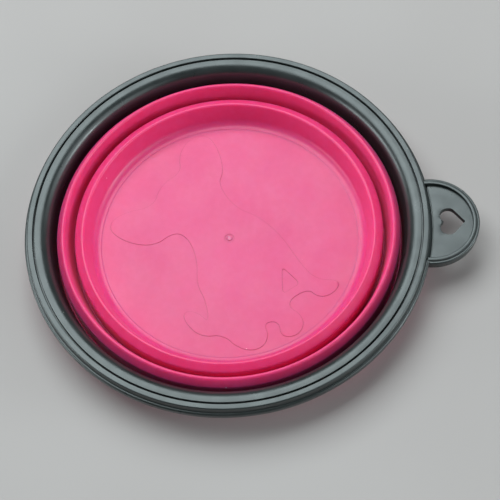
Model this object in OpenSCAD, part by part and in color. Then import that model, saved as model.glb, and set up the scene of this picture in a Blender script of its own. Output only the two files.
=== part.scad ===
// Collapsible pet bowl, folded flat: a soft cup, a band and a collar joined by thin fold walls,
// held in a rigid two-part rim with a hanging tab. Z is up, the origin is on the bowl's axis at
// the underside of the floor, and the tab points along +X.

/* [Cup] */
// Radius at the foot of the cup's inner wall
floor_r = 44.15; // [30:0.05:60]
// Thickness of the floor
floor_t = 1.8; // [1.2:0.1:3]
// Height of the cup's crest above the table
cup_h = 9.7; // [8.5:0.1:13]
// Thickness of the cup's wall
cup_wall_t = 1.8; // [1.2:0.1:2.2]
// Lean of the cup's wall from upright, in degrees
cup_lean = 16; // [8:1:22]
// Radius of the inside corner between the floor and the wall
foot_fillet = 2.5; // [0.5:0.1:3]
// Radius of the corner under the edge of the floor
heel_r = 0.8; // [0.3:0.1:1.2]
// Radius of the lip at the top of the cup's inner wall
lip_r = 0.8; // [0.4:0.1:1.2]
// Width of the cup's crest, from the middle of the lip to the slot
cup_crest_w = 2.65; // [2.4:0.05:3.2]
// Slope of the cup's crest below level, in degrees
cup_crest_slope = 32; // [20:1:45]
// Radius of the cup's shoulder, where the crest turns down into the slot
cup_shoulder_r = 1.3; // [1.2:0.1:2]

/* [Band] */
// Height of the band's crest above the table
band_h = 11.9; // [9:0.1:16]
// Thickness of the band
band_t = 1.9; // [1.2:0.1:2.2]
// Lean of the band from upright, in degrees
band_lean = 11; // [6:1:13]
// Radius of the ridge at the top of the band
ridge_r = 0.9; // [0.5:0.1:1.2]
// Width of the band's crest, from the middle of the ridge to the slot
band_crest_w = 2.05; // [1.9:0.05:2.6]
// Slope of the band's crest below level, in degrees
band_crest_slope = 56; // [40:1:58]
// Radius of the band's shoulder, where the crest turns down into the slot
band_shoulder_r = 1.3; // [1.2:0.1:1.8]
// Radius of the corner under the band's foot
band_heel_r = 0.9; // [0.3:0.1:1.4]

/* [Fold walls] */
// Thickness of the thin fold walls
web_t = 1.0; // [0.6:0.1:1.1]
// Width of the slot between a fold wall and the next ring
slot_w = 0.7; // [0.5:0.05:1.5]
// Height of the folds' undersides above the table
fold_lift = 0.6; // [0.3:0.1:2]
// Where a fold wall leaves its crest, in degrees above level
hinge_angle = 25; // [15:1:30]
// Gap between one moving body and the next
body_gap = 0.3; // [0.2:0.05:0.4]

/* [Collar] */
// Thickness of the collar's foot
collar_t = 3.5; // [3.2:0.1:5]
// Radius of the corner under the collar's foot
collar_heel_r = 1.5; // [0.3:0.1:2]

/* [Clamp ring] */
// Height of the clamp ring's lower edge above the table
skirt_z = 3.6; // [2.6:0.1:5]
// Height at which the back of the skirt bends outwards
knee_z = 10.5; // [9:0.1:11.5]
// Lean of the skirt from upright, in degrees
skirt_lean = 9; // [5:0.5:11]
// Radius of the clamp ring's rounded inner shoulder
clamp_shoulder_r = 3.3; // [2.5:0.1:4]
// Width of the clamp ring's flat top
clamp_flat_w = 1.15; // [1:0.05:3]
// Thickness of the clamp ring
clamp_t = 1.5; // [1:0.1:1.8]
// Thickness of the tongue that snaps into the frame
tongue_t = 0.9; // [0.6:0.1:1.4]
// Height of the snap rib that stands out of the tongue
snap_h = 0.3; // [0.1:0.05:0.5]
// Height of the snap rib's edge above the ledge that the tongue stands on
snap_rise = 2; // [1.2:0.1:3]
// Length of the slope below the snap rib's edge
snap_lead = 0.5; // [0.3:0.1:1]
// Length of the slope above the snap rib's edge
snap_run = 1; // [0.5:0.1:1.2]
// Clearance between parts that fit in one another
fit_gap = 0.1; // [0.05:0.05:0.2]

/* [Rim frame] */
// Height of the rim's bead above the table
rim_h = 14.8; // [14:0.1:20]
// Height of the bead above the clamp ring's flat top
bead_rise = 0.25; // [0:0.05:0.9]
// Width of the bead
bead_w = 1.9; // [1.4:0.1:3]
// Radius of the bead's edge beside the seam
bead_inner_r = 0.25; // [0.1:0.05:0.4]
// Radius of the bead's outer edge
bead_outer_r = 0.45; // [0.2:0.05:0.6]
// Width of the seam between the clamp ring and the bead
seam_w = 0.5; // [0.3:0.05:1]
// Depth of the seam
seam_d = 1.5; // [1.2:0.1:2]
// Width by which the bead's outer side widens towards the flange
flank_w = 0.3; // [0.1:0.05:1]
// Width of the flange outside the flank
flange_w = 0.8; // [0.6:0.1:2]
// Height of the flange's top above the table
flange_z = 12.6; // [11.5:0.1:13]
// Height of the flange's edge
flange_t = 2.2; // [1.2:0.1:3]
// Radius of the flange's upper edge
flange_edge_r = 0.7; // [0.2:0.05:0.8]
// Radius of the flange's lower edge
flange_foot_r = 0.5; // [0.2:0.05:0.6]
// Thickness of the frame's wall
frame_wall_t = 1.4; // [1:0.1:2.2]
// Height of the ledge that carries the collar
ledge_z = 8.6; // [7.5:0.1:9]
// Thickness of the ledge
ledge_t = 2.1; // [1.2:0.1:3]

/* [Tab] */
// How far the tab reaches past the rim
tab_reach = 14.9; // [12:0.1:22]
// Radius of the tab's round end
tab_r = 15.25; // [12:0.05:20]
// Height of the tab's raised border
tab_t = 3.5; // [2.5:0.1:5]
// Width of the raised border
tab_border_w = 2.2; // [1.5:0.1:3]
// Width of the lower step round the outside of the border
tab_step_w = 0.8; // [0.3:0.1:1]
// Depth of that step below the top of the border
tab_step_h = 0.5; // [0.2:0.1:1]
// Depth of the panel below the top of the border
panel_drop = 1.1; // [0.4:0.1:1.5]
// Thickness of the panel
panel_t = 1.9; // [0.8:0.1:2]

/* [Heart hole] */
// Length of the heart along the tab
heart_l = 7.85; // [7:0.05:10]
// Width of the heart across the tab
heart_w = 9.35; // [8.5:0.05:10.5]
// Radius of the heart's two lobes
lobe_r = 2.6; // [2.4:0.05:2.8]
// Width of material between the heart's tip and the end of the tab
heart_margin = 4.55; // [3:0.05:6]

/* [Floor figure] */
// Height of the puppy figure above the floor
figure_h = 0.15; // [0.1:0.05:0.5]
// Radius of the moulding mark's nub
nub_r = 0.5; // [0.3:0.1:1]
// Height of the nub above the figure
nub_h = 0.2; // [0.1:0.1:0.5]

/* [Hidden] */
$fn = 180;
SOFT = [0.91, 0.27, 0.5];
RIGID = [0.16, 0.17, 0.17];

// Steps in each arc of a section, and how far each corner cut of the figure and of its window reaches
// along an edge
arc_steps = 8;
corner_share = 0.25;
window_corner_share = 0.12;
// Overrun of every cut
overrun = 1;

// The middles of the cup's lip and shoulder, and the slot outside them
lip = [cup_wall_r(cup_h - lip_r) + lip_r / cos(cup_lean), cup_h - lip_r];
cup_shoulder = shoulder(lip, lip_r, cup_crest_w, cup_crest_slope, cup_shoulder_r);
cup_slot_r = lip[0] + cup_crest_w + slot_w / 2;
// The middles of the band's ridge and shoulder, and the slot outside them
bend_z = fold_lift + slot_w / 2 + web_t;
ridge = [band_r(band_h - ridge_r) + ridge_r / cos(band_lean), band_h - ridge_r];
band_shoulder = shoulder(ridge, ridge_r, band_crest_w, band_crest_slope, band_shoulder_r);
band_slot_r = ridge[0] + band_crest_w + slot_w / 2;
// The collar and the clamp ring that sits on it
collar_in_r = band_slot_r + slot_w / 2;
collar_out_r = collar_in_r + collar_t;
clamp_top_z = rim_h - bead_rise;
plate_z = clamp_top_z - clamp_t;
shoulder_foot_z = clamp_top_z - clamp_shoulder_r * (1 - sin(skirt_lean));
flat_r = skirt_r(shoulder_foot_z) + clamp_shoulder_r * cos(skirt_lean);
plate_in_r = flat_r - clamp_t / 2;
clamp_out_r = flat_r + clamp_flat_w;
tongue_in_r = clamp_out_r - tongue_t;
// The frame
wall_in_r = clamp_out_r + fit_gap;
wall_out_r = wall_in_r + frame_wall_t;
seam_out_r = clamp_out_r + seam_w;
seam_z = clamp_top_z - seam_d;
bead_out_r = seam_out_r + bead_w;
flange_in_r = bead_out_r + flank_w;
rim_r = flange_in_r + flange_w;
frame_z = ledge_z - ledge_t;
// The tab and its heart
tab_x = rim_r + tab_reach - tab_r;
tab_z = flange_z - tab_t;
panel_z = flange_z - panel_drop;
heart_tip_x = rim_r + tab_reach - heart_margin;
lobe_x = heart_tip_x - heart_l + lobe_r;
lobe_y = heart_w / 2 - lobe_r;
// Angle of the straight sides that run from the lobes to the heart's tip
heart_side = atan2(lobe_y, heart_tip_x - lobe_x) + asin(lobe_r / norm([heart_tip_x - lobe_x, lobe_y]));

// A sitting puppy seen from its left, in shares of the floor's radius
figure_shares = [
    [-0.37, 0.57], [-0.4, 0.7], [-0.34, 0.85], [-0.21, 0.91], [-0.11, 0.8], [-0.05, 0.57], [-0.1, 0.46],
    [0.04, 0.25], [0.2, 0.19], [0.38, 0.02], [0.51, -0.2], [0.63, -0.35], [0.82, -0.35], [0.76, -0.46],
    [0.65, -0.49], [0.57, -0.41], [0.4, -0.54], [0.55, -0.64], [0.52, -0.78], [0.38, -0.8], [0.37, -0.67],
    [0.25, -0.68], [0.3, -0.8], [0.22, -0.9], [0.08, -0.88], [-0.03, -0.77], [-0.18, -0.79],
    [-0.29, -0.7], [-0.33, -0.59], [-0.22, -0.59], [-0.13, -0.69], [-0.16, -0.5], [-0.23, -0.38],
    [-0.23, -0.16], [-0.31, 0.02], [-0.42, 0.06], [-0.55, -0.06], [-0.78, -0.02], [-0.92, 0.11],
    [-0.8, 0.23], [-0.57, 0.27], [-0.53, 0.46]];
// The window between its leg and its tail
window_shares = [[0.385, -0.235], [0.52, -0.375], [0.39, -0.46]];

// Radius of the cup's inner wall at height z
function cup_wall_r(z) = floor_r + (z - floor_t) * tan(cup_lean);
// Middle of the shoulder, of radius s, of a crest of width w that slopes from a rounding of radius r about c
function shoulder(c, r, w, slope, s) =
    [c[0] + w - s, c[1] - (s - r + (w - s) * sin(slope)) / cos(slope)];
// Radius of the band's inner face at height z
function band_r(z) = cup_slot_r + slot_w / 2 + (z - bend_z) * tan(band_lean);
// Radius of the skirt's inner face at height z
function skirt_r(z) = collar_in_r + (z - skirt_z) * tan(skirt_lean);
// Points along an arc about c, of radius r, from angle a to angle b
function arc(c, r, a, b) =
    [for (i = [0 : arc_steps]) let (t = a + (b - a) * i / arc_steps) [c[0] + r * cos(t), c[1] + r * sin(t)]];
// Each corner of a closed outline cut back by a share of both of its edges
function cut_corners(p, share) = [for (i = [0 : len(p) - 1]) let (a = p[i], b = p[(i + 1) % len(p)])
    each [a + (b - a) * share, b + (a - b) * share]];
// Angle below level at which a bend of radius r, about the middle of a slot, meets the gap between bodies
function bend_angle(r) = acos(body_gap / 2 / r);

// The foot of a ring that stands outside a slot about slot_r: its underside, then its rounded outer heel
function foot_underside(slot_r, out_r, heel) =
    concat([[slot_r + body_gap / 2, fold_lift]], arc([out_r - heel, fold_lift + heel], heel, -90, 0));
// The inside of the bend under a slot, on the side of the ring outside it
function foot_bend(slot_r) = arc([slot_r, bend_z], slot_w / 2, 0, -bend_angle(slot_w / 2));

// A crest's outline from its hinge, over the shoulder about s and down its slope, round the top about c
function crest(s, shoulder_r, c, r, slope, lean) = concat(
    [s + (shoulder_r - web_t) * [cos(hinge_angle), sin(hinge_angle)]],
    arc(s, shoulder_r, hinge_angle, 90 - slope),
    arc(c, r, 90 - slope, 180 - lean));

module figure() {
    difference() {
        polygon(cut_corners(cut_corners(figure_shares, corner_share), corner_share) * floor_r);
        polygon(cut_corners(window_shares, window_corner_share) * floor_r);
    }
}

module base_cup() {
    wall_w = cup_wall_t / cos(cup_lean);
    foot_z = floor_t + foot_fillet;
    color(SOFT) {
        rotate_extrude() polygon(concat(
            [[0, 0]],
            arc([cup_wall_r(heel_r) + wall_w - heel_r / cos(cup_lean), heel_r], heel_r, -90, -cup_lean),
            [[cup_wall_r(cup_shoulder[1]) + wall_w, cup_shoulder[1]]],
            crest(cup_shoulder, cup_shoulder_r, lip, lip_r, cup_crest_slope, cup_lean),
            arc([cup_wall_r(foot_z) - foot_fillet / cos(cup_lean), foot_z], foot_fillet, -cup_lean, -90),
            [[0, floor_t]]));
        translate([0, 0, floor_t - figure_h]) linear_extrude(2 * figure_h) figure();
        translate([0, 0, floor_t - figure_h]) cylinder(r = nub_r, h = 2 * figure_h + nub_h);
    }
}

// A thin wall from the shoulder about c, of radius r, down to the bend under the slot outside it
module fold_web(c, r) {
    slot = [c[0] + r + slot_w / 2, bend_z];
    inner = slot_w / 2;
    outer = inner + web_t;
    color(SOFT) rotate_extrude() polygon(concat(
        arc(c, r, hinge_angle, 0),
        arc(slot, inner, 180, 180 + bend_angle(inner)),
        arc(slot, outer, 180 + bend_angle(outer), 180),
        arc(c, r - web_t, 0, hinge_angle)));
}

module inner_fold_web() {
    fold_web(cup_shoulder, cup_shoulder_r);
}

module middle_ring() {
    wall_w = band_t / cos(band_lean);
    color(SOFT) rotate_extrude() polygon(concat(
        foot_underside(cup_slot_r, band_r(bend_z) + wall_w, band_heel_r),
        [[band_r(band_shoulder[1]) + wall_w, band_shoulder[1]]],
        crest(band_shoulder, band_shoulder_r, ridge, ridge_r, band_crest_slope, band_lean),
        foot_bend(cup_slot_r)));
}

module outer_fold_web() {
    fold_web(band_shoulder, band_shoulder_r);
}

module top_collar() {
    color(SOFT) rotate_extrude() polygon(concat(
        foot_underside(band_slot_r, collar_out_r, collar_heel_r),
        [[collar_out_r, ledge_z],
        [tongue_in_r - fit_gap, ledge_z],
        [tongue_in_r - fit_gap, plate_z],
        [plate_in_r + fit_gap, plate_z],
        [skirt_r(knee_z) + clamp_t + fit_gap, knee_z],
        [skirt_r(skirt_z) + clamp_t + fit_gap, skirt_z],
        [collar_in_r, skirt_z]],
        foot_bend(band_slot_r)));
}

// The snap rib's outline on an upright face at radius r
function snap_rib(r) = [
    [r, ledge_z + snap_rise - snap_lead],
    [r + snap_h, ledge_z + snap_rise],
    [r, ledge_z + snap_rise + snap_run]];
function reversed(p) = [for (i = [len(p) - 1 : -1 : 0]) p[i]];

module rim_clamp_ring() {
    color(RIGID) rotate_extrude() polygon(concat(
        [[skirt_r(skirt_z), skirt_z],
        [skirt_r(skirt_z) + clamp_t, skirt_z],
        [skirt_r(knee_z) + clamp_t, knee_z],
        [plate_in_r, plate_z],
        [tongue_in_r, plate_z],
        [tongue_in_r, ledge_z],
        [clamp_out_r, ledge_z]],
        snap_rib(clamp_out_r),
        [[clamp_out_r, clamp_top_z]],
        arc([flat_r, clamp_top_z - clamp_shoulder_r], clamp_shoulder_r, 90, 180 - skirt_lean)));
}

module heart() {
    lobe = arc([lobe_x, lobe_y], lobe_r, 90 - heart_side, 180 + asin(lobe_y / lobe_r));
    polygon(concat([[heart_tip_x, 0]], lobe, [for (p = reversed(lobe)) [p[0], -p[1]]]));
}

module tab() {
    panel_r = tab_r - tab_border_w;
    root_r = wall_in_r + frame_wall_t / 2;
    difference() {
        union() {
            translate([tab_x, 0, tab_z]) cylinder(r = tab_r, h = tab_t - tab_step_h);
            translate([tab_x, 0, tab_z]) cylinder(r = tab_r - tab_step_w, h = tab_t);
        }
        translate([tab_x, 0, panel_z]) cylinder(r = panel_r, h = panel_drop + overrun);
        translate([tab_x, 0, tab_z - overrun]) cylinder(r = panel_r, h = panel_z - panel_t - tab_z + overrun);
        translate([0, 0, tab_z - overrun]) cylinder(r = root_r, h = tab_t + 2 * overrun);
        translate([0, 0, tab_z - overrun]) linear_extrude(tab_t + 2 * overrun) heart();
    }
}

module rim_frame() {
    flange_low_z = flange_z - flange_t;
    color(RIGID) {
        rotate_extrude() polygon(concat(
            [[collar_out_r + fit_gap, frame_z],
            [wall_out_r, frame_z],
            [wall_out_r, flange_low_z]],
            arc([rim_r - flange_foot_r, flange_low_z + flange_foot_r], flange_foot_r, -90, 0),
            arc([rim_r - flange_edge_r, flange_z - flange_edge_r], flange_edge_r, 0, 90),
            [[flange_in_r, flange_z]],
            arc([bead_out_r - bead_outer_r, rim_h - bead_outer_r], bead_outer_r, 0, 90),
            arc([seam_out_r + bead_inner_r, rim_h - bead_inner_r], bead_inner_r, 90, 180),
            [[seam_out_r, seam_z],
            [wall_in_r, seam_z]],
            reversed(snap_rib(wall_in_r)),
            [[wall_in_r, ledge_z],
            [collar_out_r + fit_gap, ledge_z]]));
        tab();
    }
}

base_cup();
inner_fold_web();
middle_ring();
outer_fold_web();
top_collar();
rim_frame();
rim_clamp_ring();
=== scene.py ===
import math
import bmesh
import bpy
from mathutils import Matrix, Vector


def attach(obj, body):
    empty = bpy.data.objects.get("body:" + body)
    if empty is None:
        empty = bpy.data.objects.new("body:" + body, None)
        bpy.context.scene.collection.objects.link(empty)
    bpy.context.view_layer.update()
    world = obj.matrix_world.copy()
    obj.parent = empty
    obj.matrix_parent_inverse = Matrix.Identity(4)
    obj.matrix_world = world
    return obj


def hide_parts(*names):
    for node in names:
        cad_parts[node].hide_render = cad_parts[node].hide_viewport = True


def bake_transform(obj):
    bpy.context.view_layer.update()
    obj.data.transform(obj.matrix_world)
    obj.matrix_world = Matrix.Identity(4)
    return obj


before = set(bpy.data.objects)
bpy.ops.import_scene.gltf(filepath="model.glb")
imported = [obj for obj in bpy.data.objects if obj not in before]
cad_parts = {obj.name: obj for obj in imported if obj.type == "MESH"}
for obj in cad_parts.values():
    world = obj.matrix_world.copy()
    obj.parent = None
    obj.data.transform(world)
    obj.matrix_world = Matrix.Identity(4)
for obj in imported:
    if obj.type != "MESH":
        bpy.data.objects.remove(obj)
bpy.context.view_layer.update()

# Sizes are in millimetres, in the CAD frame: Z up, the bowl's axis at the origin, the tab along +X.
MM = 0.001
RING_STEPS = 270
FINE_TURN = math.radians(3.5)
FINE_STEP = 0.12
SHARP_EDGE = math.radians(38)
SAME_PLACE = 0.001
PLATE_LAP = 0.3

# The cup
FLOOR_R = 44.15
FLOOR_T = 1.8
CUP_H = 9.7
CUP_WALL_T = 1.8
CUP_LEAN = math.radians(16)
FOOT_FILLET = 2.5
HEEL_R = 0.8
LIP_R = 0.8
CUP_CREST_W = 2.65
CUP_CREST_SLOPE = math.radians(32)
CUP_SHOULDER_R = 1.3

# The band
BAND_H = 11.9
BAND_T = 1.9
BAND_LEAN = math.radians(11)
RIDGE_R = 0.9
BAND_CREST_W = 2.05
BAND_CREST_SLOPE = math.radians(56)
BAND_SHOULDER_R = 1.3
BAND_HEEL_R = 0.9

# The fold walls, and where the feet of the rings begin beside them
WEB_T = 1.0
SLOT_W = 0.7
FOLD_LIFT = 0.6
HINGE = math.radians(25)
FOOT_START = 0.19
NECK_START = 0.09
NECK_DROP = 0.45

# The collar
COLLAR_T = 3.5
COLLAR_HEEL_R = 1.5

# The clamp ring
SKIRT_Z = 3.6
KNEE_Z = 10.5
SKIRT_LEAN = math.radians(9)
CLAMP_SHOULDER_R = 3.3
CLAMP_FLAT_W = 1.15
CLAMP_EDGE_R = 0.15
CLAMP_T = 1.5
TONGUE_T = 0.9
FIT_GAP = 0.1

# The rim frame
RIM_H = 14.8
BEAD_RISE = 0.25
BEAD_W = 1.9
BEAD_INNER_R = 0.25
BEAD_OUTER_R = 0.45
SEAM_W = 0.5
SEAM_D = 1.5
FLANK_W = 0.3
FLANGE_W = 0.8
FLANGE_Z = 12.6
FLANGE_T = 2.2
FLANGE_EDGE_R = 0.7
FLANGE_FOOT_R = 0.5
FRAME_WALL_T = 1.4
LEDGE_Z = 8.6
LEDGE_T = 2.1
LEDGE_EDGE_R = 0.3

# The tab and its heart
TAB_REACH = 14.9
TAB_R = 15.25
TAB_T = 3.5
TAB_BORDER_W = 2.2
TAB_STEP_W = 0.8
TAB_STEP_H = 0.5
TAB_EDGE_R = 0.4
PANEL_DROP = 1.1
PANEL_T = 1.9
PANEL_EDGE_R = 0.22
GROOVE_W = 0.25
HEART_L = 7.85
HEART_W = 9.35
LOBE_R = 2.6
HEART_MARGIN = 4.55

# The step round the floor, the figure in relief on it, and the nub in its dish
FLOOR_STEP_R = 41.7
FLOOR_STEP_H = 0.13
FLOOR_STEP_OUT = 0.25
FLOOR_STEP_IN = 0.2
FLOOR_STEP_EDGE_R = 0.1
FIGURE_H = 0.15
FIGURE_EDGE_R = 0.12
FIGURE_ROUNDING = 45
WINDOW_ROUNDING = 20
SEAT_D = 0.12
PLATE_FOOT_Z = 0.3
NUB_R = 0.5
NUB_H = 0.2
NUB_EDGE_R = 0.3
NUB_DISH_R = 1.6
NUB_DISH_STEPS = 48

# Colours in linear light, and the heights between which the silicone turns deeper, a painted shade for its
# walls and crests
CLOUDS = ((0.76, 0.046, 0.200), (0.80, 0.054, 0.220))
# Painted highlight: the paler silicone of the moulding nub, for the light spot that its lit dome shows
NUB_HIGHLIGHT_CLOUDS = ((0.86, 0.17, 0.32), (0.88, 0.20, 0.35))
# Painted shade: the deeper crimson that the walls, crests and slots take above the floor, for the colour
# they show in shade
SHADED_WALL_CLOUDS = ((0.785, 0.036, 0.172), (0.825, 0.043, 0.190))
WALL_SHADE_FROM_Z = 2.2
WALL_SHADE_TO_Z = 4.5
MOTTLE = (0.84, 0.080, 0.26)
LINT = (0.93, 0.36, 0.50)
# Painted shade: the crimson that creases, slots and grooves are darkened to, and how far (mm) the occlusion
# looks for nearby surfaces
PAINTED_CREASE_SHADE = (0.50, 0.008, 0.080)
PAINTED_SHADE_REACH = 0.5
CHARCOAL = ((0.018, 0.021, 0.021), (0.026, 0.030, 0.030))
DUST = (0.16, 0.16, 0.15)
PALE_FLOOR = ((0.43, 0.37, 0.36), (0.46, 0.40, 0.39))
DAYLIGHT = (0.84, 0.98, 1.0)

# Radii and heights that follow from those
CUP_WALL_W = CUP_WALL_T / math.cos(CUP_LEAN)
BAND_W = BAND_T / math.cos(BAND_LEAN)
LIP_Z = CUP_H - LIP_R
RIDGE_Z = BAND_H - RIDGE_R
BEND_Z = FOLD_LIFT + SLOT_W / 2 + WEB_T


def cup_wall(z):
    """Radius of the cup's inner wall at height z."""
    return FLOOR_R + (z - FLOOR_T) * math.tan(CUP_LEAN)


LIP_MID_R = cup_wall(LIP_Z) + LIP_R / math.cos(CUP_LEAN)
CUP_SLOT_R = LIP_MID_R + CUP_CREST_W + SLOT_W / 2


def band_face(z):
    """Radius of the band's inner face at height z."""
    return CUP_SLOT_R + SLOT_W / 2 + (z - BEND_Z) * math.tan(BAND_LEAN)


def shoulder_height(top, radius, width, slope, shoulder_r):
    """Height of the middle of the shoulder that a sloping crest ends in."""
    return top - (shoulder_r - radius + (width - shoulder_r) * math.sin(slope)) / math.cos(slope)


RIDGE_MID_R = band_face(RIDGE_Z) + RIDGE_R / math.cos(BAND_LEAN)
BAND_SLOT_R = RIDGE_MID_R + BAND_CREST_W + SLOT_W / 2
CUP_SHOULDER = (
    LIP_MID_R + CUP_CREST_W - CUP_SHOULDER_R,
    shoulder_height(LIP_Z, LIP_R, CUP_CREST_W, CUP_CREST_SLOPE, CUP_SHOULDER_R))
BAND_SHOULDER = (
    RIDGE_MID_R + BAND_CREST_W - BAND_SHOULDER_R,
    shoulder_height(RIDGE_Z, RIDGE_R, BAND_CREST_W, BAND_CREST_SLOPE, BAND_SHOULDER_R))
COLLAR_IN_R = BAND_SLOT_R + SLOT_W / 2
COLLAR_OUT_R = COLLAR_IN_R + COLLAR_T
CLAMP_TOP_Z = RIM_H - BEAD_RISE
PLATE_Z = CLAMP_TOP_Z - CLAMP_T


def skirt_face(z):
    """Radius of the skirt's inner face at height z."""
    return COLLAR_IN_R + (z - SKIRT_Z) * math.tan(SKIRT_LEAN)


SHOULDER_FOOT_Z = CLAMP_TOP_Z - CLAMP_SHOULDER_R * (1 - math.sin(SKIRT_LEAN))
FLAT_R = skirt_face(SHOULDER_FOOT_Z) + CLAMP_SHOULDER_R * math.cos(SKIRT_LEAN)
PLATE_IN_R = FLAT_R - CLAMP_T / 2
CLAMP_OUT_R = FLAT_R + CLAMP_FLAT_W
TONGUE_IN_R = CLAMP_OUT_R - TONGUE_T
WALL_IN_R = CLAMP_OUT_R + FIT_GAP
WALL_OUT_R = WALL_IN_R + FRAME_WALL_T
SEAM_OUT_R = CLAMP_OUT_R + SEAM_W
SEAM_Z = CLAMP_TOP_Z - SEAM_D
BEAD_OUT_R = SEAM_OUT_R + BEAD_W
FLANGE_IN_R = BEAD_OUT_R + FLANK_W
RIM_R = FLANGE_IN_R + FLANGE_W
TAB_X = RIM_R + TAB_REACH - TAB_R
PANEL_R = TAB_R - TAB_BORDER_W
PANEL_Z = FLANGE_Z - PANEL_DROP
HEART_TIP_X = RIM_R + TAB_REACH - HEART_MARGIN
LOBE_X = HEART_TIP_X - HEART_L + LOBE_R
LOBE_Y = HEART_W / 2 - LOBE_R

# A sitting puppy seen from its left, in shares of the floor's radius
FIGURE_SHARES = [
    (-0.37, 0.57), (-0.4, 0.7), (-0.34, 0.85), (-0.21, 0.91), (-0.11, 0.8), (-0.05, 0.57), (-0.1, 0.46),
    (0.04, 0.25), (0.2, 0.19), (0.38, 0.02), (0.51, -0.2), (0.63, -0.35), (0.82, -0.35), (0.76, -0.46),
    (0.65, -0.49), (0.57, -0.41), (0.4, -0.54), (0.55, -0.64), (0.52, -0.78), (0.38, -0.8), (0.37, -0.67),
    (0.25, -0.68), (0.3, -0.8), (0.22, -0.9), (0.08, -0.88), (-0.03, -0.77), (-0.18, -0.79),
    (-0.29, -0.7), (-0.33, -0.59), (-0.22, -0.59), (-0.13, -0.69), (-0.16, -0.5), (-0.23, -0.38),
    (-0.23, -0.16), (-0.31, 0.02), (-0.42, 0.06), (-0.55, -0.06), (-0.78, -0.02), (-0.92, 0.11),
    (-0.8, 0.23), (-0.57, 0.27), (-0.53, 0.46)]
# The window between its leg and its tail
WINDOW_SHARES = [(0.385, -0.235), (0.52, -0.375), (0.39, -0.46)]


def show(name, data):
    """Puts a mesh, a lamp or a lens in the scene."""
    made = bpy.data.objects.new(name, data)
    bpy.context.scene.collection.objects.link(made)
    return made


def point_camera():
    """Sets the camera where the photograph was taken from."""
    azimuth, elevation, roll = math.radians(8), math.radians(62.265), math.radians(7.8986)
    pan, tilt = math.radians(-0.7821), math.radians(0.4841)
    distance = 0.4484
    orbit = Matrix.Rotation(azimuth, 4, "Z") @ Matrix.Rotation(math.pi / 2 - elevation, 4, "X")
    aim = Matrix.Rotation(pan, 4, "Y") @ Matrix.Rotation(-tilt, 4, "X") @ Matrix.Rotation(-roll, 4, "Z")
    lens = bpy.data.cameras.new("camera")
    lens.lens = 98.893
    lens.sensor_width = 36
    lens.clip_start = 0.01
    camera = show("camera", lens)
    camera.matrix_world = orbit @ Matrix.Translation((0, 0, distance)) @ aim
    bpy.context.scene.camera = camera


def round_corner(bm, vert, radius):
    """Rounds one corner of an outline."""
    sides = [edge.other_vert(vert).co - vert.co for edge in vert.link_edges]
    corner = sides[0].angle(sides[1])
    turn = math.pi - corner
    steps = max(2, min(round(turn / FINE_TURN), round(turn * radius / FINE_STEP)))
    bmesh.ops.bevel(
        bm, geom=[vert], offset=MM * radius / math.tan(corner / 2), offset_type="OFFSET", segments=steps,
        profile=0.5, affect="VERTICES", material=-1, clamp_overlap=False)


def close_loop(bm, verts):
    """Joins vertices, each to the next and the last to the first."""
    for vert, after in zip(verts, verts[1:] + verts[:1]):
        bm.edges.new((vert, after))


def outline(bm, corners):
    """Draws a closed section from corners (radius, height, rounding) in the XZ plane."""
    verts = [bm.verts.new((MM * radius, 0, MM * height)) for radius, height, _ in corners]
    close_loop(bm, verts)
    for vert, (_, _, rounding) in zip(verts, corners):
        if rounding:
            round_corner(bm, vert, rounding)


def bend(middle, height, radius, start, stop):
    """The corner whose rounding is the arc about a middle from one angle above level to another."""
    reach = radius / math.cos((stop - start) / 2)
    way = (start + stop) / 2
    return middle + reach * math.cos(way), height + reach * math.sin(way), radius


def hinge_corner(shoulder, radius):
    """The corner at a radius about a shoulder's middle where the fold wall begins."""
    return shoulder[0] + radius * math.cos(HINGE), shoulder[1] + radius * math.sin(HINGE), 0


def crest(shoulder, shoulder_r, middle, height, radius, slope, lean):
    """A crest's outline: its hinge, its shoulder, its slope and the rounding at its top."""
    return [
        hinge_corner(shoulder, shoulder_r - WEB_T),
        hinge_corner(shoulder, shoulder_r),
        bend(*shoulder, shoulder_r, HINGE, math.pi / 2 - slope),
        bend(middle, height, radius, math.pi / 2 - slope, math.pi - lean)]


def turned(corners):
    """A whole ring turned from a section."""
    bm = bmesh.new()
    outline(bm, corners)
    bmesh.ops.spin(
        bm, geom=bm.verts[:] + bm.edges[:], cent=(0, 0, 0), axis=(0, 0, 1), angle=math.tau,
        steps=RING_STEPS, use_merge=True)
    return bm


def open_edges(bm):
    """The edges with a face on one side only."""
    return [edge for edge in bm.edges if edge.is_boundary]


def verts_in(parts):
    """The vertices among the parts that an operator made."""
    return [part for part in parts if isinstance(part, bmesh.types.BMVert)]


def swept(corners, start, stop, centre=0.0):
    """Part of a ring, from one angle to another, about an upright axis that crosses the X axis at centre."""
    bm = bmesh.new()
    outline(bm, corners)
    pivot = (MM * centre, 0, 0)
    bmesh.ops.translate(bm, verts=bm.verts[:], vec=pivot)
    bmesh.ops.rotate(bm, verts=bm.verts[:], cent=pivot, matrix=Matrix.Rotation(start, 3, "Z"))
    steps = max(8, round(RING_STEPS * (stop - start) / math.tau))
    bmesh.ops.spin(
        bm, geom=bm.verts[:] + bm.edges[:], cent=pivot, axis=(0, 0, 1), angle=stop - start, steps=steps)
    bmesh.ops.remove_doubles(bm, verts=bm.verts[:], dist=MM * SAME_PLACE)
    bmesh.ops.holes_fill(bm, edges=open_edges(bm), sides=0)
    return bm


def round_rim(bm, top, radius):
    """Rounds the steep edges at height top."""
    rim = [
        edge for edge in bm.edges
        if edge.calc_face_angle(0) > 1 and min(vert.co.z for vert in edge.verts) > MM * (top - 0.01)]
    bmesh.ops.bevel(
        bm, geom=rim, offset=MM * radius, offset_type="OFFSET", segments=2, profile=0.5, affect="EDGES",
        material=-1, clamp_overlap=True)


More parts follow.
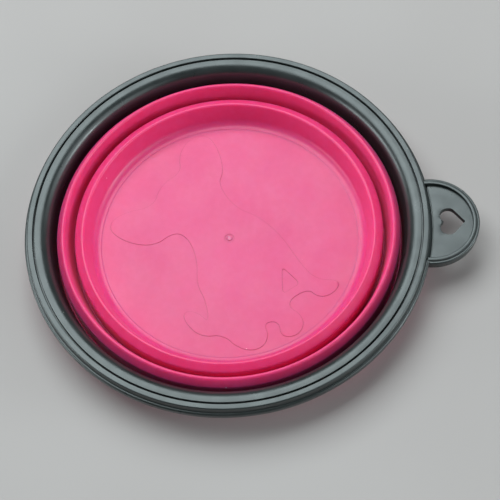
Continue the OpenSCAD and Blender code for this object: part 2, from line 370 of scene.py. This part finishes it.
def sunk_plate(bm, top, thickness, edge_r):
    """Fills the outlines drawn at height top, thickens them downwards and rounds their upper edges."""
    bmesh.ops.triangle_fill(bm, use_beauty=True, edges=bm.edges[:], normal=(0, 0, 1))
    lower = bmesh.ops.extrude_face_region(bm, geom=bm.faces[:])["geom"]
    bmesh.ops.translate(bm, verts=verts_in(lower), vec=(0, 0, -MM * thickness))
    bmesh.ops.recalc_face_normals(bm, faces=bm.faces[:])
    round_rim(bm, top, edge_r)
    return bm


def piece(name, bm, finish, even=True):
    """Makes an object of a bmesh. Even shading keeps wide flat faces flat beside small roundings."""
    bmesh.ops.remove_doubles(bm, verts=bm.verts[:], dist=MM * SAME_PLACE)
    loose = [edge for edge in bm.edges if not edge.link_faces]
    bmesh.ops.delete(bm, geom=loose, context="EDGES")
    bmesh.ops.recalc_face_normals(bm, faces=bm.faces[:])
    mesh = bpy.data.meshes.new(name)
    bm.to_mesh(mesh)
    bm.free()
    mesh.shade_smooth()
    mesh.set_sharp_from_angle(angle=SHARP_EDGE)
    mesh.materials.append(finish.material)
    made = show(name, mesh)
    if even:
        weighting = made.modifiers.new("even shading", "WEIGHTED_NORMAL")
        weighting.keep_sharp = True
        weighting.weight = 100
    return made


class Finish:
    """A material, its nodes and the name of a slot, which nothing here uses."""

    def __init__(self, name, slot=None):
        self.slot = slot
        self.material = bpy.data.materials.new(name)
        self.material.use_nodes = True
        self.tree = self.material.node_tree
        self.surface = self.tree.nodes["Principled BSDF"]
        self.place = self.node("ShaderNodeTexCoord").outputs["Object"]

    def node(self, kind, **settings):
        """Adds a node and sets its options."""
        made = self.tree.nodes.new(kind)
        for key, value in settings.items():
            setattr(made, key, value)
        return made

    def join(self, source, target):
        """Links an output to an input."""
        self.tree.links.new(source, target)

    def noise(self, scale, detail=3.0, roughness=0.55):
        """A soft noise of a scale in cells per metre."""
        made = self.node("ShaderNodeTexNoise")
        made.inputs["Scale"].default_value = scale
        made.inputs["Detail"].default_value = detail
        made.inputs["Roughness"].default_value = roughness
        self.join(self.place, made.inputs["Vector"])
        return made.outputs["Fac"]

    def spots(self, scale, size, share):
        """Small round spots in a share of the cells of a Voronoi pattern."""
        cells = self.node("ShaderNodeTexVoronoi")
        cells.inputs["Scale"].default_value = scale
        self.join(self.place, cells.inputs["Vector"])
        near = self.ramp(cells.outputs["Distance"], size * 0.6, size, 1.0, 0.0)
        apart = self.node("ShaderNodeSeparateColor")
        self.join(cells.outputs["Color"], apart.inputs["Color"])
        chosen = self.node("ShaderNodeMath", operation="LESS_THAN")
        chosen.inputs[1].default_value = share
        self.join(apart.outputs["Red"], chosen.inputs[0])
        both = self.node("ShaderNodeMath", operation="MULTIPLY")
        self.join(near, both.inputs[0])
        self.join(chosen.outputs["Value"], both.inputs[1])
        return both.outputs["Value"]

    def ramp(self, source, low, high, value_low, value_high):
        """Maps a value smoothly from one range to another."""
        made = self.node("ShaderNodeMapRange", interpolation_type="SMOOTHSTEP")
        made.inputs["From Min"].default_value = low
        made.inputs["From Max"].default_value = high
        made.inputs["To Min"].default_value = value_low
        made.inputs["To Max"].default_value = value_high
        self.join(source, made.inputs["Value"])
        return made.outputs["Result"]

    def blend(self, factor, low, high):
        """Mixes two colours, either of which may come from a node."""
        made = self.node("ShaderNodeMix", data_type="RGBA")
        self.join(factor, made.inputs["Factor"])
        for socket, colour in ((made.inputs[6], low), (made.inputs[7], high)):
            if isinstance(colour, tuple):
                socket.default_value = (*colour, 1)
            else:
                self.join(colour, socket)
        return made.outputs[2]

    def bumps(self, *layers):
        """Stacks bump layers of (height, depth in millimetres, strength)."""
        normal = None
        for height, depth, strength in layers:
            made = self.node("ShaderNodeBump")
            made.inputs["Distance"].default_value = MM * depth
            made.inputs["Strength"].default_value = strength
            self.join(height, made.inputs["Height"])
            if normal:
                self.join(normal, made.inputs["Normal"])
            normal = made.outputs["Normal"]
        self.join(normal, self.surface.inputs["Normal"])


def pink_silicone(name, low, high):
    """Satin silicone, deeper in colour above the floor.

    It has a cloudy bloom between two colours, a fine grain and a little lint. Its creases, slots and grooves
    are darkened by painted shade, and above the floor it turns deeper crimson, which is painted shade too.
    """
    finish = Finish(name, "silicone")
    cloud = finish.ramp(finish.noise(45, 4), 0.3, 0.7, 0.0, 1.0)
    height = finish.node("ShaderNodeSeparateXYZ")
    finish.join(finish.place, height.inputs["Vector"])
    # Painted shade: above the floor the colour turns deeper crimson, as shaded walls, crests and slots look,
    # while the floor stays paler
    wall_shade_mask = finish.ramp(height.outputs["Z"], MM * WALL_SHADE_FROM_Z, MM * WALL_SHADE_TO_Z, 0.0, 1.0)
    shaded_wall_tone = finish.blend(cloud, *SHADED_WALL_CLOUDS)
    base = finish.blend(wall_shade_mask, finish.blend(cloud, low, high), shaded_wall_tone)
    mottle = finish.ramp(finish.noise(420, 3), 0.35, 0.7, 0.0, 0.25)
    base = finish.blend(mottle, base, MOTTLE)
    lint = finish.spots(170, 0.05, 0.10)
    base = finish.blend(lint, base, LINT)
    # Painted shade: the colour turns darker in creases, slots and grooves, where nearby surfaces would shade
    # them
    shade_probe = finish.node("ShaderNodeAmbientOcclusion", samples=12)
    shade_probe.inputs["Distance"].default_value = MM * PAINTED_SHADE_REACH
    depth = finish.ramp(shade_probe.outputs["AO"], 0.55, 0.99, 1.0, 0.0)
    base = finish.blend(depth, base, PAINTED_CREASE_SHADE)
    finish.join(base, finish.surface.inputs["Base Color"])
    bloom = finish.ramp(finish.noise(90, 3), 0.3, 0.7, 0.36, 0.44)
    finish.join(bloom, finish.surface.inputs["Roughness"])
    finish.surface.inputs["Subsurface Weight"].default_value = 0.6
    finish.surface.inputs["Subsurface Radius"].default_value = (1.0, 0.2, 0.3)
    finish.surface.inputs["Subsurface Scale"].default_value = 0.002
    finish.surface.inputs["Specular IOR Level"].default_value = 0.45
    finish.surface.inputs["Sheen Weight"].default_value = 0.06
    finish.surface.inputs["Sheen Roughness"].default_value = 0.45
    finish.bumps(
        (finish.noise(60, 2), 0.1, 0.08),
        (finish.noise(2600, 2), 0.02, 0.3))
    return finish


def charcoal_plastic():
    """Moulded plastic with a fine satin grain and a few pale specks of dust."""
    finish = Finish("charcoal_plastic", "rim_plastic")
    cloud = finish.ramp(finish.noise(60, 3), 0.3, 0.7, 0.0, 1.0)
    base = finish.blend(cloud, *CHARCOAL)
    dust = finish.spots(260, 0.06, 0.10)
    base = finish.blend(dust, base, DUST)
    finish.join(base, finish.surface.inputs["Base Color"])
    satin = finish.ramp(finish.noise(150, 4), 0.3, 0.7, 0.27, 0.36)
    finish.join(satin, finish.surface.inputs["Roughness"])
    finish.surface.inputs["Specular IOR Level"].default_value = 0.7
    finish.bumps(
        (finish.noise(140, 2), 0.06, 0.12),
        (finish.noise(3200, 2), 0.015, 0.35))
    return finish


def make_cup(silicone):
    """The cup: its floor with a shallow recess, its leaning wall and its crest."""
    cup = piece("cup", turned([
        (0, 0, 0),
        (cup_wall(0) + CUP_WALL_W, 0, HEEL_R),
        (cup_wall(CUP_SHOULDER[1]) + CUP_WALL_W, CUP_SHOULDER[1], 0),
        *crest(CUP_SHOULDER, CUP_SHOULDER_R, LIP_MID_R, LIP_Z, LIP_R, CUP_CREST_SLOPE, CUP_LEAN),
        (FLOOR_R, FLOOR_T + FLOOR_STEP_H, FOOT_FILLET),
        (FLOOR_STEP_R + FLOOR_STEP_OUT, FLOOR_T + FLOOR_STEP_H, FLOOR_STEP_EDGE_R),
        (FLOOR_STEP_R - FLOOR_STEP_IN, FLOOR_T - SEAT_D, 0),
        (0, FLOOR_T - SEAT_D, 0)]), silicone)
    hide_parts("base_cup")
    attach(cup, "base")


def draw_loop(bm, shares, rounding):
    """Draws a loop on the floor with its corners rounded by a percentage of their sides."""
    old = set(bm.edges)
    verts = [bm.verts.new((MM * FLOOR_R * x, MM * FLOOR_R * y, MM * FLOOR_T)) for x, y in shares]
    close_loop(bm, verts)
    bmesh.ops.bevel(
        bm, geom=verts, offset=rounding, offset_type="PERCENT", segments=5, profile=0.5,
        affect="VERTICES", material=-1, clamp_overlap=False)
    return [edge for edge in bm.edges if edge not in old]


def draw_circle(bm, radius, segments):
    """Draws a circle on the floor."""
    old = set(bm.edges)
    bmesh.ops.create_circle(
        bm, cap_ends=False, segments=segments, radius=MM * radius,
        matrix=Matrix.Translation((0, 0, MM * FLOOR_T)))
    return [edge for edge in bm.edges if edge not in old]


def fill(bm, edges):
    """Fills the area between loops and returns its faces."""
    filled = bmesh.ops.triangle_fill(bm, use_beauty=True, edges=edges, normal=(0, 0, 1))["geom"]
    return [part for part in filled if isinstance(part, bmesh.types.BMFace)]


def make_relief(silicone, highlight_silicone):
    """The floor with the puppy in low relief, and the nub that the mould leaves in a shallow dish."""
    top = FLOOR_T + FIGURE_H
    bm = bmesh.new()
    figure = draw_loop(bm, FIGURE_SHARES, FIGURE_ROUNDING)
    window = draw_loop(bm, WINDOW_SHARES, WINDOW_ROUNDING)
    dish = draw_circle(bm, NUB_DISH_R, NUB_DISH_STEPS)
    edge = draw_circle(bm, FLOOR_STEP_R + PLATE_LAP, RING_STEPS)
    fill(bm, window)
    fill(bm, dish)
    fill(bm, figure + edge)
    lifted = fill(bm, figure + window + dish)
    lifted += dict.fromkeys(line for face in lifted for line in face.edges)
    raised = bmesh.ops.extrude_face_region(bm, geom=lifted)["geom"]
    bmesh.ops.translate(bm, verts=verts_in(raised), vec=(0, 0, MM * FIGURE_H))
    round_rim(bm, top, FIGURE_EDGE_R)
    side = bmesh.ops.extrude_edge_only(bm, edges=open_edges(bm))["geom"]
    bmesh.ops.translate(bm, verts=verts_in(side), vec=(0, 0, MM * (PLATE_FOOT_Z - FLOOR_T)))
    bmesh.ops.holes_fill(bm, edges=open_edges(bm), sides=0)
    relief = piece("puppy_relief", bm, silicone)

    nub_foot_r = 1.8 * NUB_R
    nub_edge = 1.3 * NUB_R
    nub_top = top + NUB_H
    # Painted highlight: the nub is made of the paler silicone, for the light spot on its dome
    nub = piece("moulding_nub", turned([
        (0, PLATE_FOOT_Z, 0),
        (nub_foot_r, PLATE_FOOT_Z, 0),
        (nub_foot_r, FLOOR_T, 0),
        (nub_edge, nub_top, NUB_EDGE_R),
        (0, nub_top, 0)]), highlight_silicone)
    for made in (relief, nub):
        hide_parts("base_cup")
        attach(made, "base")


def make_fold(name, shoulder, radius, node, silicone):
    """A thin fold wall: from its hinge on a shoulder, down beside the slot and round under it.

    Its straight sides turn over when it opens, so sharp edges at their ends keep their shading apart.
    """
    inner = radius - WEB_T
    face = shoulder[0] + radius
    beyond = face + SLOT_W
    section = [
        hinge_corner(shoulder, radius),
        bend(*shoulder, radius, 0, HINGE),
        (face, BEND_Z - SLOT_W / 2, SLOT_W / 2),
        (beyond, BEND_Z - SLOT_W / 2, SLOT_W / 2),
        (beyond, BEND_Z, 0),
        (beyond + WEB_T, BEND_Z, 0),
        (beyond + WEB_T, FOLD_LIFT, SLOT_W / 2 + WEB_T),
        (face - WEB_T, FOLD_LIFT, SLOT_W / 2 + WEB_T),
        bend(*shoulder, inner, 0, HINGE),
        hinge_corner(shoulder, inner)]
    fold = piece(name, turned(section), silicone, even=False)
    for edge in fold.data.edges:
        heights = [fold.data.vertices[end].co.z for end in edge.vertices]
        for height in (shoulder[1], BEND_Z):
            if max(abs(end - MM * height) for end in heights) < MM * SAME_PLACE:
                edge.use_edge_sharp = True
    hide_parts(node)
    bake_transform(fold)


def make_band(silicone):
    """The band between the two folds."""
    band = piece("band", turned([
        (CUP_SLOT_R + FOOT_START, FOLD_LIFT, 0),
        (band_face(BEND_Z) + BAND_W, FOLD_LIFT, BAND_HEEL_R),
        (band_face(BEND_Z) + BAND_W, BEND_Z, 0),
        (band_face(BAND_SHOULDER[1]) + BAND_W, BAND_SHOULDER[1], 0),
        *crest(BAND_SHOULDER, BAND_SHOULDER_R, RIDGE_MID_R, RIDGE_Z, RIDGE_R, BAND_CREST_SLOPE, BAND_LEAN),
        (band_face(BEND_Z), BEND_Z, 0),
        (CUP_SLOT_R + SLOT_W / 2 + NECK_START, BEND_Z - NECK_DROP, 0)]), silicone)
    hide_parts("middle_ring")
    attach(band, "middle")


def make_collar(silicone):
    """The collar that the rim holds."""
    collar = piece("collar", turned([
        (BAND_SLOT_R + FOOT_START, FOLD_LIFT, 0),
        (COLLAR_OUT_R, FOLD_LIFT, COLLAR_HEEL_R),
        (COLLAR_OUT_R, LEDGE_Z, 0),
        (TONGUE_IN_R - FIT_GAP, LEDGE_Z, 0),
        (TONGUE_IN_R - FIT_GAP, PLATE_Z, 0),
        (PLATE_IN_R + FIT_GAP, PLATE_Z, 0),
        (skirt_face(KNEE_Z) + CLAMP_T + FIT_GAP, KNEE_Z, 0),
        (COLLAR_IN_R + CLAMP_T + FIT_GAP, SKIRT_Z, 0),
        (COLLAR_IN_R, SKIRT_Z, 0),
        (COLLAR_IN_R, BEND_Z, 0),
        (BAND_SLOT_R + SLOT_W / 2 + NECK_START, BEND_Z - NECK_DROP, 0)]), silicone)
    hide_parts("top_collar")
    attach(collar, "rim")


def make_clamp(plastic):
    """The clamp ring: its skirt, rounded inner shoulder and flat top."""
    clamp = piece("clamp_ring", turned([
        (COLLAR_IN_R, SKIRT_Z, CLAMP_EDGE_R),
        (COLLAR_IN_R + CLAMP_T, SKIRT_Z, CLAMP_EDGE_R),
        (skirt_face(KNEE_Z) + CLAMP_T, KNEE_Z, 0),
        (PLATE_IN_R, PLATE_Z, 0),
        (TONGUE_IN_R, PLATE_Z, 0),
        (TONGUE_IN_R, LEDGE_Z, 0),
        (CLAMP_OUT_R, LEDGE_Z, 0),
        (CLAMP_OUT_R, CLAMP_TOP_Z, CLAMP_EDGE_R),
        (skirt_face(CLAMP_TOP_Z), CLAMP_TOP_Z, CLAMP_SHOULDER_R)]), plastic)
    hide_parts("rim_clamp_ring")
    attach(clamp, "rim")


def make_frame(plastic):
    """The rim frame: its wall and bead, and the flange that runs round to both sides of the tab."""
    flange_low = FLANGE_Z - FLANGE_T
    haunch_low = flange_low + 0.2
    haunch_top = flange_low + 1.0
    wall = piece("rim_wall", turned([
        (COLLAR_OUT_R + FIT_GAP, LEDGE_Z - LEDGE_T, 0),
        (WALL_OUT_R, LEDGE_Z - LEDGE_T, LEDGE_EDGE_R),
        (WALL_OUT_R, haunch_low, 0),
        (FLANGE_IN_R, haunch_top, 0),
        (FLANGE_IN_R, FLANGE_Z, 0),
        (BEAD_OUT_R, RIM_H - 2 * BEAD_OUTER_R, 0),
        (BEAD_OUT_R, RIM_H, BEAD_OUTER_R),
        (SEAM_OUT_R, RIM_H, BEAD_INNER_R),
        (SEAM_OUT_R, SEAM_Z, 0),
        (WALL_IN_R, SEAM_Z, 0),
        (WALL_IN_R, LEDGE_Z, 0),
        (COLLAR_OUT_R + FIT_GAP, LEDGE_Z, 0)]), plastic)
    flange_in_wall = WALL_OUT_R - 0.1
    tab_turn = math.radians(12.4)
    flange = piece("rim_flange", swept([
        (flange_in_wall, flange_low, 0),
        (RIM_R, flange_low, FLANGE_FOOT_R),
        (RIM_R, FLANGE_Z, FLANGE_EDGE_R),
        (flange_in_wall, FLANGE_Z, 0)], tab_turn, math.tau - tab_turn), plastic)
    for made in (wall, flange):
        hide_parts("rim_frame")
        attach(made, "rim")


def heart(bm, height):
    """Draws the heart's outline at a height: a lobe, a straight side to the tip, and their mirror image."""
    side = math.atan2(LOBE_Y, HEART_TIP_X - LOBE_X)
    side += math.asin(LOBE_R / math.hypot(HEART_TIP_X - LOBE_X, LOBE_Y))
    start = math.pi / 2 - side
    turn = math.pi + math.asin(LOBE_Y / LOBE_R) - start
    lobe = Vector((MM * LOBE_X, MM * LOBE_Y, MM * height))
    first = bm.verts.new(lobe + MM * LOBE_R * Vector((math.cos(start), math.sin(start), 0)))
    tip = bm.verts.new((MM * HEART_TIP_X, 0, MM * height))
    old = set(bm.verts) | set(bm.edges)
    bmesh.ops.spin(bm, geom=[first], cent=lobe, axis=(0, 0, 1), angle=turn, steps=32)
    bm.edges.new((first, tip))
    half = [first, tip] + [part for part in bm.verts[:] + bm.edges[:] if part not in old]
    bmesh.ops.mirror(bm, geom=half, matrix=Matrix.Identity(4), merge_dist=MM * 0.01, axis="Y")


def make_tab(plastic):
    """The hanging tab: its ridged border, sunk panel with a heart hole, and the groove at its root."""
    groove_r = RIM_R + GROOVE_W
    plate_r = PANEL_R + PLATE_LAP
    meet_x = (groove_r**2 - plate_r**2 + TAB_X**2) / (2 * TAB_X)
    meet_y = math.sqrt(groove_r**2 - meet_x**2)
    bm = bmesh.new()
    corner = bm.verts.new((MM * meet_x, -MM * meet_y, MM * PANEL_Z))
    bmesh.ops.spin(
        bm, geom=[corner], cent=(MM * TAB_X, 0, 0), axis=(0, 0, 1),
        angle=2 * math.atan2(meet_y, meet_x - TAB_X), steps=96)
    inner = bm.verts.new((MM * meet_x, -MM * meet_y, MM * PANEL_Z))
    bmesh.ops.spin(
        bm, geom=[inner], cent=(0, 0, 0), axis=(0, 0, 1), angle=2 * math.atan2(meet_y, meet_x), steps=32)
    heart(bm, PANEL_Z)
    bmesh.ops.remove_doubles(bm, verts=bm.verts[:], dist=MM * 0.01)
    panel = piece("tab_panel", sunk_plate(bm, PANEL_Z, PANEL_T, PANEL_EDGE_R), plastic)

    low = FLANGE_Z - TAB_T
    border_turn = math.radians(104.5)
    step_z = FLANGE_Z - TAB_STEP_H
    step_r = TAB_R - TAB_STEP_W
    border = piece("tab_border", swept([
        (PANEL_R, low, 0.3),
        (TAB_R, low, TAB_EDGE_R),
        (TAB_R, step_z, TAB_EDGE_R),
        (step_r, step_z - 0.1, 0.1),
        (step_r - 0.1, FLANGE_Z, 0.2),
        (PANEL_R + 0.1, FLANGE_Z, 0.25),
        (PANEL_R, PANEL_Z - 0.3, 0)], -border_turn, border_turn, TAB_X), plastic)

    root_turn = math.radians(12.6)
    root_low = PANEL_Z - PANEL_T + 0.05
    root_top = RIM_H - 2 * BEAD_OUTER_R
    root_in = WALL_OUT_R - 0.2
    root_out = groove_r + 0.6
    groove_z = PANEL_Z - 0.5
    root = piece("tab_root", swept([
        (root_in, root_low, 0),
        (root_out, root_low, 0),
        (root_out, groove_z, 0),
        (RIM_R - 0.05, groove_z, 0.1),
        (BEAD_OUT_R + 0.05, root_top, 0),
        (root_in, root_top, 0)], -root_turn, root_turn), plastic)
    for made in (panel, border, root):
        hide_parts("rim_frame")
        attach(made, "rim")


def make_studio():
    """A pale floor and soft light: a window above and behind, and lower lights on both sides."""
    finish = Finish("pale_floor")
    tone = finish.ramp(finish.noise(6, 2), 0.3, 0.7, 0.0, 1.0)
    finish.join(finish.blend(tone, *PALE_FLOOR), finish.surface.inputs["Base Color"])
    finish.surface.inputs["Roughness"].default_value = 0.7
    bm = bmesh.new()
    bmesh.ops.create_grid(bm, x_segments=1, y_segments=1, size=3)
    mesh = bpy.data.meshes.new("floor")
    bm.to_mesh(mesh)
    bm.free()
    mesh.materials.append(finish.material)
    floor = show("floor", mesh)

    world = bpy.data.worlds.new("studio")
    world.use_nodes = True
    world.node_tree.nodes["Background"].inputs["Color"].default_value = (*DAYLIGHT, 1)
    world.node_tree.nodes["Background"].inputs["Strength"].default_value = 0.05
    bpy.context.scene.world = world
    bpy.context.scene.view_settings.view_transform = "Standard"
    light_distance = 0.9
    for name, azimuth, elevation, width, height, glow in (
            ("window", 121, 64, 0.94, 0.68, 5.0),
            ("left_light", 188, 11, 0.7, 0.32, 6.5),
            ("right_bank", -15, 24, 1.25, 0.7, 1.8),
            ("low_light", -11, 11, 0.25, 0.12, 24.0)):
        lamp = bpy.data.lights.new(name, "AREA")
        lamp.shape = "RECTANGLE"
        lamp.size = width
        lamp.size_y = height
        lamp.energy = glow * math.pi * width * height
        lamp.color = DAYLIGHT
        turn = Matrix.Rotation(math.radians(azimuth + 90), 4, "Z")
        turn = turn @ Matrix.Rotation(math.radians(90 - elevation), 4, "X")
        light = show(name, lamp)
        light.matrix_world = turn @ Matrix.Translation((0, 0, light_distance))


point_camera()
silicone = pink_silicone("pink_silicone", *CLOUDS)
highlight_silicone = pink_silicone("highlight_silicone", *NUB_HIGHLIGHT_CLOUDS)
plastic = charcoal_plastic()
make_cup(silicone)
make_relief(silicone, highlight_silicone)
make_fold("inner_fold", CUP_SHOULDER, CUP_SHOULDER_R, "inner_fold_web", silicone)
make_band(silicone)
make_fold("outer_fold", BAND_SHOULDER, BAND_SHOULDER_R, "outer_fold_web", silicone)
make_collar(silicone)
make_clamp(plastic)
make_frame(plastic)
make_tab(plastic)
make_studio()
